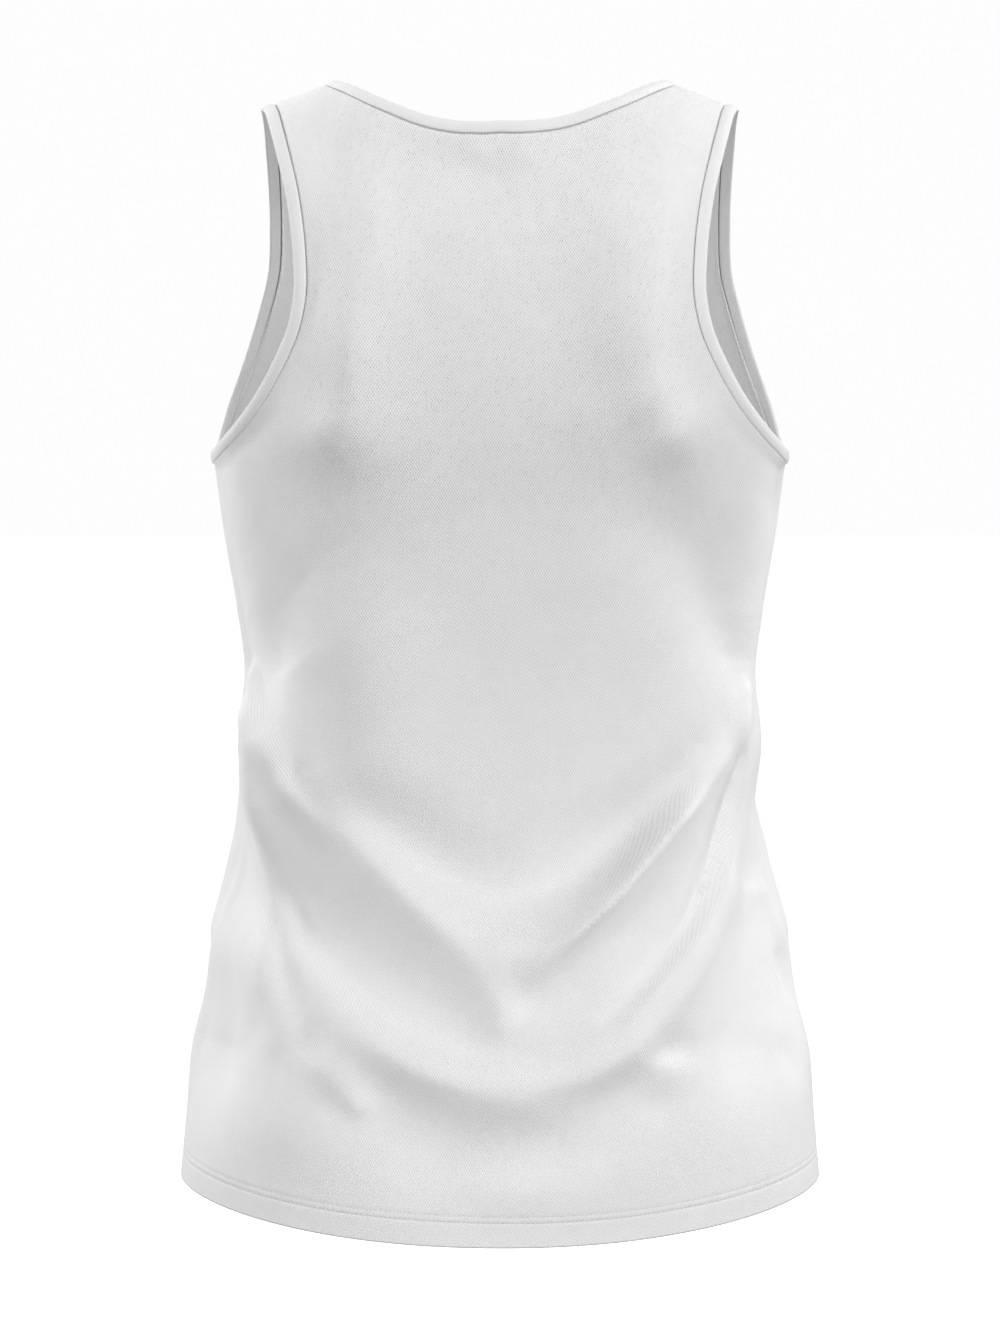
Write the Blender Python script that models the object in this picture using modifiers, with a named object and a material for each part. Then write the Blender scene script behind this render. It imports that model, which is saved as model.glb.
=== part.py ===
# A sleeveless tank top of light white knit, hollow, in the shape it has when it is worn.
# Metres. +Z is up and the front of the garment faces -Y. The wearer's left is at +X.
# The origin is midway between the inner faces of the two shoulder straps.
import bpy
import bmesh
import numpy as np
from math import pi
from mathutils import Vector

NAME = "tank_top"

# Cloth
CLOTH = 0.0012  # one layer of knit
HEM_LAYERS = 2  # the hem is the panel's own cloth turned up
HEM_DEPTH = 0.0190
HEM_STEP = 0.0012  # length over which the turned-up layer ends
SEAM_GAP = 0.0003
SHOULDER_GAP = 0.0005  # at the outer face: the walls lean towards each other below it
BAND_GAP = 0.0004
COLOUR = (0.83, 0.83, 0.82, 1.0)
BAND_COLOUR = (0.80, 0.80, 0.79, 1.0)
ROUGHNESS = 0.85
SHARP_EDGES = pi / 3.6  # edges sharper than this, such as the cut edges, aren't shaded smooth

# Bindings: narrow folded strips of the same knit
NECK_BAND_WIDTH = 0.0078
ARM_BAND_WIDTH = 0.0076
BAND_THICKNESS = 0.0024
BAND_PROUD = 0.0005  # how far a binding stands out from the panel's outer face
BAND_CROWN = 0.0004  # how far its middle is fuller than its edges

# Sections of the worn garment, from the shoulder line down. Depths are at the centre back and front.
SECTIONS = (
    # name, height, half_width, back_depth, front_depth, squareness
    ("shoulder line", 0.0020, 0.1980, 0.000, 0.000, 2.50),
    ("strap top", -0.0055, 0.1970, 0.026, 0.024, 2.50),
    ("yoke", -0.0250, 0.1960, 0.052, 0.048, 2.50),
    ("upper chest", -0.0600, 0.1930, 0.076, 0.074, 2.50),
    ("mid armhole", -0.1100, 0.1880, 0.094, 0.096, 2.50),
    ("blades", -0.1650, 0.1820, 0.102, 0.110, 2.45),
    ("underarm", -0.2210, 0.1760, 0.101, 0.114, 2.40),
    ("ribs", -0.2650, 0.1704, 0.096, 0.110, 2.38),
    ("upper waist", -0.3120, 0.1630, 0.089, 0.105, 2.35),
    ("waist", -0.3500, 0.1585, 0.086, 0.101, 2.32),
    ("waist roll", -0.3950, 0.1625, 0.086, 0.099, 2.30),
    ("waist tuck", -0.4400, 0.1590, 0.089, 0.099, 2.30),
    ("upper hip", -0.4750, 0.1640, 0.096, 0.101, 2.30),
    ("hip", -0.5150, 0.1795, 0.104, 0.105, 2.30),
    ("hip fold", -0.5500, 0.1850, 0.109, 0.107, 2.25),
    ("lower hip", -0.5850, 0.1935, 0.112, 0.108, 2.20),
    ("above hem", -0.6250, 0.1970, 0.113, 0.109, 2.15),
    ("hem", -0.6650, 0.2008, 0.113, 0.109, 2.10),
)
SHOULDER_SLOPE = 0.37
STRAP_MIDDLE = 0.1215
SLOPE_ENDS = 0.130  # cloth length below the shoulder line where the slope has faded out
DIP_STARTS = -0.500  # height below which the hem's dip grows

# Each panel's neckline and the dip of its hem at the centre
PANELS = (
    # name, side, neck_half_width, neck_drop, neck_roundness, hem_dip
    ("back_panel", 1, 0.107, 0.082, 1.20, 0.015),
    ("front_panel", -1, 0.107, 0.158, 0.95, 0.008),
)

# The armhole seam from the shoulder to the underarm: cloth length down, and how far out it is
ARMHOLE = (
    # length_down, back_half_width, front_half_width
    (0.000, 0.1390, 0.1390),
    (0.040, 0.1318, 0.1392),
    (0.075, 0.1248, 0.1393),
    (0.110, 0.1174, 0.1398),
    (0.145, 0.1130, 0.1424),
    (0.170, 0.1124, 0.1488),
    (0.192, 0.1166, 0.1554),
    (0.213, 0.1260, 0.1622),
    (0.234, 0.1388, 0.1691),
    (0.252, 0.1545, 0.1735),
    (0.2635, 0.1680, 0.1755),
)
UNDERARM = 0.2680  # cloth length from the shoulder line to the armhole seam's lowest point

# Largest folds. A path's points are (across, height): across is along the cloth from the
# centre line, towards +X. The cloth moves out by rise, or in where it is negative.
BACK_FOLDS = (
    # name, path, rise, width_above, width_below
    ("long sweep at +X", ((0.178, -0.360), (0.130, -0.420), (0.065, -0.473), (0.006, -0.526),
                          (-0.006, -0.546)), 0.0110, 0.026, 0.014),
    ("long sweep at -X", ((-0.161, -0.359), (-0.126, -0.417), (-0.062, -0.488), (-0.010, -0.522)),
     0.0080, 0.026, 0.010),
    ("upper hollow", ((0.099, -0.416), (0.029, -0.455), (-0.041, -0.458), (-0.119, -0.396)),
     -0.0085, 0.022, 0.016),
    ("low sweep, middle", ((0.090, -0.556), (0.029, -0.586), (-0.029, -0.586), (-0.090, -0.558)),
     0.0110, 0.020, 0.016),
    ("low sweep at -X", ((-0.040, -0.582), (-0.104, -0.546), (-0.148, -0.495), (-0.185, -0.430)),
     0.0040, 0.018, 0.018),
    ("inner ridge at +X", ((0.163, -0.377), (0.152, -0.428), (0.136, -0.465), (0.118, -0.492)),
     0.0065, 0.014, 0.012),
    ("inner crease at -X", ((-0.161, -0.392), (-0.143, -0.457), (-0.095, -0.522), (-0.067, -0.548)),
     -0.0070, 0.012, 0.010),
    ("pool at +X", ((0.120, -0.490), (0.100, -0.506), (0.066, -0.526), (0.028, -0.553)),
     -0.0130, 0.032, 0.034),
    ("pool at -X", ((-0.046, -0.516), (-0.088, -0.494), (-0.118, -0.474)), -0.0070, 0.022, 0.020),
    ("waist roll at +X", ((0.112, -0.292), (0.090, -0.322), (0.082, -0.395)), 0.0130, 0.044, 0.034),
    ("blade hollow at -X", ((-0.070, -0.206), (-0.100, -0.225), (-0.145, -0.310)), -0.0080, 0.026, 0.030),
    ("hollow between the blades", ((0.060, -0.240), (0.000, -0.252), (-0.060, -0.240)),
     -0.0060, 0.040, 0.040),
    ("yoke crest at +X", ((0.085, -0.060), (0.078, -0.110), (0.082, -0.160), (0.080, -0.205)),
     0.0070, 0.020, 0.020),
    ("yoke crest at -X", ((-0.110, -0.035), (-0.100, -0.075), (-0.088, -0.120), (-0.084, -0.175)),
     0.0080, 0.020, 0.026),
    ("side hollow at +X", ((0.195, -0.240), (0.176, -0.275), (0.148, -0.302), (0.142, -0.336)),
     -0.0065, 0.026, 0.028),
    ("side hollow at -X", ((-0.116, -0.224), (-0.145, -0.277), (-0.162, -0.315)),
     -0.0060, 0.028, 0.020),
    ("flute at +X", ((0.190, -0.474), (0.198, -0.523), (0.190, -0.574)), -0.0080, 0.030, 0.026),
    ("flute at -X", ((-0.185, -0.480), (-0.182, -0.500), (-0.166, -0.563)), -0.0080, 0.034, 0.034),
)
FRONT_FOLDS = (
    # name, path, rise, width_above, width_below
    ("chest drape at +X", ((0.085, -0.190), (0.120, -0.270), (0.150, -0.350)), -0.0035, 0.024, 0.024),
    ("chest drape at -X", ((-0.095, -0.200), (-0.125, -0.290), (-0.160, -0.345)), -0.0035, 0.022, 0.026),
    ("waist sweep at +X", ((0.185, -0.375), (0.120, -0.445), (0.045, -0.500), (-0.020, -0.520)),
     0.0065, 0.026, 0.016),
    ("waist sweep at -X", ((-0.180, -0.370), (-0.125, -0.425), (-0.060, -0.470)), 0.0060, 0.024, 0.014),
    ("low sweep", ((0.140, -0.530), (0.060, -0.575), (-0.040, -0.580), (-0.130, -0.540)),
     0.0065, 0.022, 0.018),
    ("side bulge at +X", ((0.172, -0.432), (0.181, -0.462), (0.200, -0.515)), 0.0150, 0.020, 0.020),
    ("side bulge at -X", ((-0.172, -0.432), (-0.181, -0.462), (-0.200, -0.515)), 0.0120, 0.020, 0.020),
)
PATH_STEPS = 40
FOLDS_FADE = 0.024  # the seams lie still: folds fade out over this distance from the panel's sides
FOLD_ENDS = 0.15  # what is left of a fold at the very end of its path

# Steps that a direction on the smooth garment is measured over
SMALL_TURN = 0.002
SMALL_LENGTH = 0.0005
GIRTH_STEPS = 400  # steps that a section's cloth is measured in

# Mesh density
NECK_COLUMNS = 10  # from the centre line to the neck point
STRAP_COLUMNS = 5  # across a strap
ARMHOLE_ROWS = 14
MARGIN_SHARE = 0.014  # the last row and column lie this close to the seams
CLOSER_ENDS = 0.35  # how much closer together the armhole's rows are at its two ends
CLOSER_AT_NECK = 1.2  # power that brings the neckline's points closer together at the shoulder
SAG = 0.032  # how far the row at the underarm lies lower, away from the side seam
SAG_SHARE = 0.30  # share of that row over which it comes up to the seam
SAGGING_ROWS = 5
HEM_ROWS = 2  # rows of points in the turned-up layer
BODY_ROWS = (
    # lowest_height, rows down to it
    (-0.345, 4),
    (-0.600, 12),
    (-0.630, 1),
)


def smooth_through(knots, values, at):
    # A smooth curve through the values, one for each knot.
    slopes = np.gradient(values, knots)
    at = np.clip(at, knots[0], knots[-1])
    low = np.clip(np.searchsorted(knots, at) - 1, 0, len(knots) - 2)
    span = knots[low + 1] - knots[low]
    t = (at - knots[low]) / span
    return (
        (2 * t**3 - 3 * t**2 + 1) * values[low]
        + (t**3 - 2 * t**2 + t) * span * slopes[low]
        + (3 * t**2 - 2 * t**3) * values[low + 1]
        + (t**3 - t**2) * span * slopes[low + 1]
    )


def ease(value):
    # 0 to 1 with a soft start and end
    value = np.clip(value, 0.0, 1.0)
    return value * value * (3 - 2 * value)


def unit(directions):
    return directions / np.linalg.norm(directions, axis=-1)[..., None]


# The sections as columns, and the cloth length down to each, along the mean of back and front.
HEIGHTS, HALF_WIDTHS, BACK_DEPTHS, FRONT_DEPTHS, SQUARENESS = np.array([row[1:] for row in SECTIONS]).T
LENGTHS = np.concatenate(
    ([0.0], np.cumsum(np.hypot(np.diff(HEIGHTS), np.diff(BACK_DEPTHS + FRONT_DEPTHS) / 2)))
)
HEM_LENGTH = LENGTHS[-1]
# Both sides in one run, front hem to back hem over the shoulder, so that the shoulder is smooth.
OVER = np.concatenate((-LENGTHS[:0:-1], LENGTHS))


def both_sides(front, back):
    return np.concatenate((front[:0:-1], back))


def length_at(height):
    return np.interp(-height, -HEIGHTS, LENGTHS)


def section_at(side, length):
    # (height, half width, signed depth at the centre, squareness) at a cloth length down
    over = side * length
    height = smooth_through(OVER, both_sides(HEIGHTS, HEIGHTS), over)
    half_width = smooth_through(LENGTHS, HALF_WIDTHS, length)
    depth = smooth_through(OVER, both_sides(-FRONT_DEPTHS, BACK_DEPTHS), over)
    squareness = smooth_through(LENGTHS, SQUARENESS, length)
    return height, half_width, depth, squareness


def on_body(side, turn, length, dip):
    # A point of the smooth garment. turn goes from 0 at the centre line to pi / 2 at the side seam.
    height, half_width, depth, squareness = section_at(side, length)
    across = half_width * np.sin(turn) ** (2 / squareness)
    inwards = np.maximum(np.cos(turn), 0.0)
    slope = SHOULDER_SLOPE * (across - STRAP_MIDDLE) * (1 - ease(length / SLOPE_ENDS))
    low = ease((length - length_at(DIP_STARTS)) / (HEM_LENGTH - length_at(DIP_STARTS)))
    z = height - slope - dip * low * inwards**2
    return np.array((across, depth * inwards ** (2 / squareness), z))


def body_normals(side, turns, lengths):
    # Unit directions out of the smooth garment, from points a small step away
    step = np.where(turns < pi / 4, SMALL_TURN, -SMALL_TURN)
    here = on_body(side, turns, lengths, 0.0)
    beside = (on_body(side, turns + step, lengths, 0.0) - here) / step
    above = on_body(side, turns, lengths - SMALL_LENGTH, 0.0) - here
    return unit(-side * np.cross(beside.T, above.T))


def turn_at(across, length):
    _, half_width, _, squareness = section_at(1, length)
    return np.arcsin(np.clip(across / half_width, 0.0, 1.0) ** (squareness / 2))


def seam_turn(side, length):
    # The side seam, half a gap short of the garment's widest line
    _, _, depth, squareness = section_at(side, length)
    return np.arccos((SEAM_GAP / 2 / abs(depth)) ** (squareness / 2))


def shares_of(count):
    # Even shares from 0 to 1 with a narrow last one
    return np.append(np.linspace(0, 1 - MARGIN_SHARE, count), 1.0)


def armhole_shares():
    # From the underarm to the shoulder, closer together at both
    even = shares_of(ARMHOLE_ROWS)
    return even - CLOSER_ENDS * np.sin(2 * pi * even) / (2 * pi)


def even_turns(shares):
    # Turns that split a section at the underarm into these shares of its cloth
    fine = np.linspace(0, pi / 2, GIRTH_STEPS)
    x, y, _ = on_body(1, fine, np.full(GIRTH_STEPS, UNDERARM), 0.0)
    run = np.concatenate(([0.0], np.cumsum(np.hypot(np.diff(x), np.diff(y)))))
    return np.interp(shares, run / run[-1], fine)


def armhole_points(side):
    # (turn, length) at each armhole row, from the underarm to the shoulder
    column = 1 if side > 0 else 2
    knots = [(turn_at(row[column], row[0]), row[0]) for row in ARMHOLE]
    knots.append((seam_turn(side, UNDERARM), UNDERARM))
    mirrored = (pi - knots[-2][0], knots[-2][1])
    turns, lengths = np.array(knots + [mirrored]).T
    steps = np.hypot(np.diff(turns) * HALF_WIDTHS[0], np.diff(lengths))
    run = np.concatenate(([0.0], np.cumsum(steps)))
    at = run[-2] * (1 - armhole_shares())
    lengths = np.maximum(smooth_through(run, lengths, at), SHOULDER_GAP / 2)
    return smooth_through(run, turns, at), lengths


def top_edge(shares, neck_half_width, neck_drop, roundness):
    # (turn, length) along the neckline, then along the shoulder seam
    neck = 1 - (1 - shares[: NECK_COLUMNS + 1] / shares[NECK_COLUMNS]) ** CLOSER_AT_NECK
    strap = (shares[NECK_COLUMNS + 1 :] - shares[NECK_COLUMNS]) / (1 - shares[NECK_COLUMNS])
    strap_width = ARMHOLE[0][1] - neck_half_width
    across = np.append(neck_half_width * np.sin(neck * pi / 2), neck_half_width + strap_width * strap)
    neck_lengths = neck_drop * np.maximum(np.cos(neck * pi / 2), 0.0) ** roundness
    lengths = np.maximum(np.append(neck_lengths, np.zeros(len(strap))), SHOULDER_GAP / 2)
    return turn_at(across, lengths), lengths


def half_grid(side, neck_half_width, neck_drop, roundness):
    # Rows of (turn, length) from the hem up to the neckline and shoulder seam
    shares = shares_of(NECK_COLUMNS + STRAP_COLUMNS)
    turns = even_turns(shares)
    lengths = [HEM_LENGTH, HEM_LENGTH - HEM_DEPTH + HEM_STEP, HEM_LENGTH - HEM_DEPTH]
    body = [UNDERARM]
    for lowest, count in BODY_ROWS:
        body += list(np.linspace(body[-1], length_at(lowest), count + 1)[1:])
    sags = [SAG * max(1 - k / SAGGING_ROWS, 0.0) for k in range(len(body))]
    inside = ease((1 - shares) / SAG_SHARE)
    rows = []
    for length, sag in zip(lengths + body[::-1], [0.0] * len(lengths) + sags[::-1]):
        down = length + sag * inside
        rows.append((np.minimum(turns, seam_turn(side, down)), down))
    arm = armhole_points(side)
    top = top_edge(shares, neck_half_width, neck_drop, roundness)
    bottom = rows[-1]
    for j, t in enumerate(armhole_shares()[1:], start=1):
        row = [filled_between(bottom[k], top[k], arm[k][j], shares, t) for k in range(2)]
        rows.append(row)
    return rows


def filled_between(bottom, top, arm, shares, t):
    # One row of values between the bottom and top rows that ends on the armhole
    outer = bottom[-1] + (top[-1] - bottom[-1]) * t
    neck = shares[NECK_COLUMNS]
    strap_shares = np.clip((shares - neck) / (1 - neck), 0.0, 1.0)
    # In the upper half of the armhole only the strap's own columns follow its edge.
    pull = shares + (strap_shares - shares) * ease(2 * t - 1)
    return (1 - t) * bottom + t * top + pull * (arm - outer)


def whole_grid(side, neck_half_width, neck_drop, roundness, dip):
    # (points, normals)[row][column] over the full width, from -X to +X
    rows = []
    for turns, lengths in half_grid(side, neck_half_width, neck_drop, roundness):
        half = np.array((on_body(side, turns, lengths, dip).T, body_normals(side, turns, lengths)))
        other = half[:, :0:-1] * np.array((-1.0, 1.0, 1.0))
        rows.append(np.concatenate((other, half), axis=1))
    return np.array(rows).swapaxes(0, 1)


def path_points(path):
    # A smooth line through a fold's points
    knots = np.array(path)
    run = np.concatenate(([0.0], np.cumsum(np.linalg.norm(np.diff(knots, axis=0), axis=1))))
    at = np.linspace(0, run[-1], PATH_STEPS)
    return np.column_stack([smooth_through(run, knots[:, k], at) for k in range(2)])


def folded(points, normals, folds):
    # The grid with its folds, each one a soft ridge or trough that fades out at its ends
    steps = np.linalg.norm(np.diff(points, axis=1), axis=2)
    run = np.concatenate((np.zeros((len(points), 1)), np.cumsum(steps, axis=1)), axis=1)
    across = run - run[:, points.shape[1] // 2][:, None]
    cloth = np.stack((across, points[..., 2]), axis=-1)
    out = np.zeros(across.shape)
    for _, path, rise, width_above, width_below in folds:
        line = path_points(path)
        apart = cloth[:, :, None, :] - line
        distances = np.linalg.norm(apart, axis=-1)
        nearest = distances.argmin(axis=-1)
        distance = distances.min(axis=-1)
        rise_above = np.take_along_axis(apart[..., 1], nearest[..., None], axis=2)[..., 0]
        above = ease(0.5 + 0.5 * rise_above / np.maximum(distance, SEAM_GAP))
        width = width_below + (width_above - width_below) * above
        fade = ease(4 * np.minimum(nearest, PATH_STEPS - 1 - nearest) / PATH_STEPS)
        out += rise * (FOLD_ENDS + (1 - FOLD_ENDS) * fade) * np.exp(-((distance / width) ** 2))
    from_edge = np.minimum(run, run[:, -1:] - run)
    return points + normals * (out * ease(from_edge / FOLDS_FADE))[..., None]


def make_material(name, colour):
    material = bpy.data.materials.new(name)
    material.use_nodes = True
    shader = material.node_tree.nodes["Principled BSDF"]
    shader.inputs["Base Color"].default_value = colour
    shader.inputs["Roughness"].default_value = ROUGHNESS
    shader.inputs["Metallic"].default_value = 0.0
    return material


def sheet_object(name, points, closed, colour, collection, parent):
    # An open surface over a grid of points, closed round if asked, with its faces outwards
    rows, columns = points.shape[:2]
    bm = bmesh.new()
    grid = [[bm.verts.new(Vector(point)) for point in row] for row in points]
    for j in range(rows - 1):
        for i in range(columns if closed else columns - 1):
            right = (i + 1) % columns
            bm.faces.new((grid[j][i], grid[j][right], grid[j + 1][right], grid[j + 1][i]))
    mesh = bpy.data.meshes.new(name)
    bm.to_mesh(mesh)
    bm.free()
    mesh.shade_smooth()
    mesh.set_sharp_from_angle(angle=SHARP_EDGES)
    mesh.materials.append(make_material(name, colour))
    obj = bpy.data.objects.new(name, mesh)
    collection.objects.link(obj)
    obj.parent = parent
    return obj


def thicken(obj, thickness, offset):
    wall = obj.modifiers.new("cloth", "SOLIDIFY")
    wall.thickness = thickness
    wall.offset = offset
    wall.use_even_offset = True
    return wall


def add_panel(name, side, points, collection, parent):
    # A panel's outer face, thickened inwards, with two layers in the hem
    obj = sheet_object(name, points[:, ::-side], False, COLOUR, collection, parent)
    wall = thicken(obj, CLOTH * HEM_LAYERS, -1.0)
    hem = obj.vertex_groups.new(name="hem")
    hem.add(list(range(HEM_ROWS * points.shape[1])), 1.0, "REPLACE")
    wall.vertex_group = hem.name
    wall.thickness_vertex_group = 1 / HEM_LAYERS
    return obj


def seam_ring(edges):
    # One closed ring from panel edges that meet end to end, each a list of columns:
    # the points, the outward normals and the directions into the panel
    ring = edges[0]
    for edge in edges[1:]:
        joint = (ring[:, -1:] + edge[:, :1]) / 2
        ring = np.concatenate((ring[:, :-1], joint, edge[:, 1:]), axis=1)
    joint = (ring[:, -1:] + ring[:, :1]) / 2
    return np.concatenate((joint, ring[:, 1:-1]), axis=1)


def add_binding(name, edges, width, collection, parent):
    # A folded strip that stands along a seam, in line with the panels
    points, normals, inwards = seam_ring(edges)
    normals = unit(normals)
    along = np.roll(points, -1, axis=0) - np.roll(points, 1, axis=0)
    away = unit(np.cross(along, normals))
    if np.sum(away * inwards) > 0:
        away = -away
    middle = BAND_PROUD - BAND_THICKNESS / 2
    rows = []
    for share, crown in ((0.0, 0.0), (0.5, BAND_CROWN), (1.0, 0.0)):
        rows.append(points + away * (BAND_GAP + share * width) + normals * (middle + crown))
    rows = np.array(rows)
    facing = np.cross(rows[0, 1] - rows[0, 0], rows[1, 0] - rows[0, 0]) @ normals[0]
    rows = rows if facing > 0 else rows[:, ::-1]
    obj = sheet_object(name, rows, True, BAND_COLOUR, collection, parent)
    thicken(obj, BAND_THICKNESS, 0.0)
    return obj


def panel_edges(points, normals):
    # A panel's neckline from -X, and its armholes from the underarm, as seam_ring takes them
    neck = slice(STRAP_COLUMNS, points.shape[1] - STRAP_COLUMNS)
    arm = slice(len(points) - ARMHOLE_ROWS - 1, None)
    return (
        np.array((points[-1, neck], normals[-1, neck], points[-2, neck] - points[-1, neck])),
        np.array((points[arm, 0], normals[arm, 0], points[arm, 1] - points[arm, 0])),
        np.array((points[arm, -1], normals[arm, -1], points[arm, -2] - points[arm, -1])),
    )


def main():
    for obj in list(bpy.data.objects):
        bpy.data.objects.remove(obj)
    scene = bpy.context.scene
    scene.unit_settings.scale_length = 1.0
    collection = bpy.data.collections.new(NAME)
    scene.collection.children.link(collection)
    garment = bpy.data.objects.new("garment_frame", None)
    collection.objects.link(garment)

    edges = []
    for (name, side, half_width, drop, roundness, dip), folds in zip(PANELS, (BACK_FOLDS, FRONT_FOLDS)):
        points, normals = whole_grid(side, half_width, drop, roundness, dip)
        points = folded(points, normals, folds)
        add_panel(name, side, points, collection, garment)
        edges.append(panel_edges(points, normals))
    bindings = (
        ("neck_binding", NECK_BAND_WIDTH),
        ("right_armhole_binding", ARM_BAND_WIDTH),
        ("left_armhole_binding", ARM_BAND_WIDTH),
    )
    for (name, width), back, front in zip(bindings, *edges):
        add_binding(name, (back, front[:, ::-1]), width, collection, garment)


main()
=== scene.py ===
# A sleeveless tank top of light white knit, hollow and filled out as when it is worn, seen from behind.
from math import pi, radians

import bmesh
import bpy
import numpy as np
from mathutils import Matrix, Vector


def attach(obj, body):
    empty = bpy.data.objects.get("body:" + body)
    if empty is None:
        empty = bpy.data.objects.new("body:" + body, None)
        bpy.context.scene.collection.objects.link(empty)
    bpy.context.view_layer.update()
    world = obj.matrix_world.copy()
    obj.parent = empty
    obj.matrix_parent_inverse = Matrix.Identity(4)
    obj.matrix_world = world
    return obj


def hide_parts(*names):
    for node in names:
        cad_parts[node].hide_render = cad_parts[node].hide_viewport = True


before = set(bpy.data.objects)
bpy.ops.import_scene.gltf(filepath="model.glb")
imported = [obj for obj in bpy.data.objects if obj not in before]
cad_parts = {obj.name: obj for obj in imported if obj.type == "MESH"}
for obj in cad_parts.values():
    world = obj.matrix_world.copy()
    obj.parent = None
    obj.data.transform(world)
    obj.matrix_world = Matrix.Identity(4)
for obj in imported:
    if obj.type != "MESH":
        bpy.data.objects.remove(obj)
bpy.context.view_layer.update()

for thing in list(bpy.context.selected_objects):
    thing.select_set(False)


# the worn shape

# The garment without folds, in metres, from the shoulder line down. Depths are at the centre.
body = {
    "sections": (  # height, half width, back depth, front depth, squareness
        (0.0020, 0.1980, 0.000, 0.000, 2.50),
        (-0.0055, 0.1970, 0.026, 0.024, 2.50),
        (-0.0250, 0.1960, 0.052, 0.048, 2.50),
        (-0.0600, 0.1930, 0.076, 0.074, 2.50),
        (-0.1100, 0.1880, 0.094, 0.096, 2.50),
        (-0.1650, 0.1820, 0.102, 0.110, 2.45),
        (-0.2210, 0.1760, 0.101, 0.114, 2.40),
        (-0.2650, 0.1704, 0.096, 0.110, 2.38),
        (-0.3120, 0.1630, 0.089, 0.105, 2.35),
        (-0.3500, 0.1585, 0.086, 0.101, 2.32),
        (-0.3950, 0.1625, 0.086, 0.099, 2.30),
        (-0.4400, 0.1590, 0.089, 0.099, 2.30),
        (-0.4750, 0.1640, 0.096, 0.101, 2.30),
        (-0.5150, 0.1795, 0.104, 0.105, 2.30),
        (-0.5500, 0.1850, 0.109, 0.107, 2.25),
        (-0.5850, 0.1935, 0.112, 0.108, 2.20),
        (-0.6250, 0.1970, 0.113, 0.109, 2.15),
        (-0.6650, 0.2008, 0.113, 0.109, 2.10),
    ),
    "shoulderSlope": 0.37,
    "strapMiddle": 0.1215,
    "slopeEnds": 0.130,  # cloth length below the shoulder line where the slope has faded out
    "dipStarts": -0.500,  # height from which the middle of the hem hangs lower than the sides
    "underarm": 0.2680,  # cloth length down to the armhole's lowest point
    "sectionPoints": 1200,  # on a quarter of a section, to space the columns evenly along it
    "slopeTurn": 0.002,  # the short steps that give the surface's slope, in turn and in length
    "slopeLength": 0.0005,
    # the armhole seam: cloth length down, how far out on the back, and on the front
    "armhole": (
        (0.000, 0.1390, 0.1390),
        (0.040, 0.1318, 0.1392),
        (0.075, 0.1248, 0.1393),
        (0.110, 0.1174, 0.1398),
        (0.145, 0.1130, 0.1424),
        (0.170, 0.1124, 0.1488),
        (0.192, 0.1166, 0.1554),
        (0.213, 0.1260, 0.1622),
        (0.234, 0.1388, 0.1691),
        (0.252, 0.1545, 0.1735),
        (0.2635, 0.1680, 0.1755),
    ),
}


def smoothThrough(knots, values, at):
    slopes = np.gradient(values, knots)
    at = np.clip(at, knots[0], knots[-1])
    low = np.clip(np.searchsorted(knots, at) - 1, 0, len(knots) - 2)
    span = knots[low + 1] - knots[low]
    t = (at - knots[low]) / span
    return (
        (2 * t**3 - 3 * t**2 + 1) * values[low]
        + (t**3 - 2 * t**2 + t) * span * slopes[low]
        + (3 * t**2 - 2 * t**3) * values[low + 1]
        + (t**3 - t**2) * span * slopes[low + 1]
    )


def ease(value):
    value = np.clip(value, 0.0, 1.0)
    return value * value * (3 - 2 * value)


def unit(directions):
    return directions / np.linalg.norm(directions, axis=-1)[..., None]


heights, halfWidths, backDepths, frontDepths, squareness = np.array(body["sections"]).T
sectionSteps = np.hypot(np.diff(heights), np.diff(backDepths + frontDepths) / 2)
lengths = np.concatenate(([0.0], np.cumsum(sectionSteps)))
hemLength = lengths[-1]
overShoulder = np.concatenate((-lengths[:0:-1], lengths))


def lengthAt(height):
    return np.interp(-height, -heights, lengths)


def sectionAt(side, length):
    over = side * length
    height = smoothThrough(overShoulder, np.concatenate((heights[:0:-1], heights)), over)
    halfWidth = smoothThrough(lengths, halfWidths, length)
    depth = smoothThrough(overShoulder, np.concatenate((-frontDepths[:0:-1], backDepths)), over)
    return height, halfWidth, depth, smoothThrough(lengths, squareness, length)


def onBody(side, turn, length, dip):
    # turn goes from 0 at the centre line to pi / 2 at the side seam
    height, halfWidth, depth, square = sectionAt(side, length)
    across = halfWidth * np.sin(turn) ** (2 / square)
    inwards = np.maximum(np.cos(turn), 0.0)
    fromStrap = across - body["strapMiddle"]
    slope = body["shoulderSlope"] * fromStrap * (1 - ease(length / body["slopeEnds"]))
    dipLength = lengthAt(body["dipStarts"])
    low = ease((length - dipLength) / (hemLength - dipLength))
    return np.array((across, depth * inwards ** (2 / square), height - slope - dip * low * inwards**2))


def bodyNormals(side, turns, down):
    step = np.where(turns < pi / 4, body["slopeTurn"], -body["slopeTurn"])
    here = onBody(side, turns, down, 0.0)
    beside = (onBody(side, turns + step, down, 0.0) - here) / step
    above = onBody(side, turns, down - body["slopeLength"], 0.0) - here
    return unit(-side * np.cross(beside.T, above.T))


def turnAt(across, length):
    _, halfWidth, _, square = sectionAt(1, length)
    return np.arcsin(np.clip(across / halfWidth, 0.0, 1.0) ** (square / 2))


# panels

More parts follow.
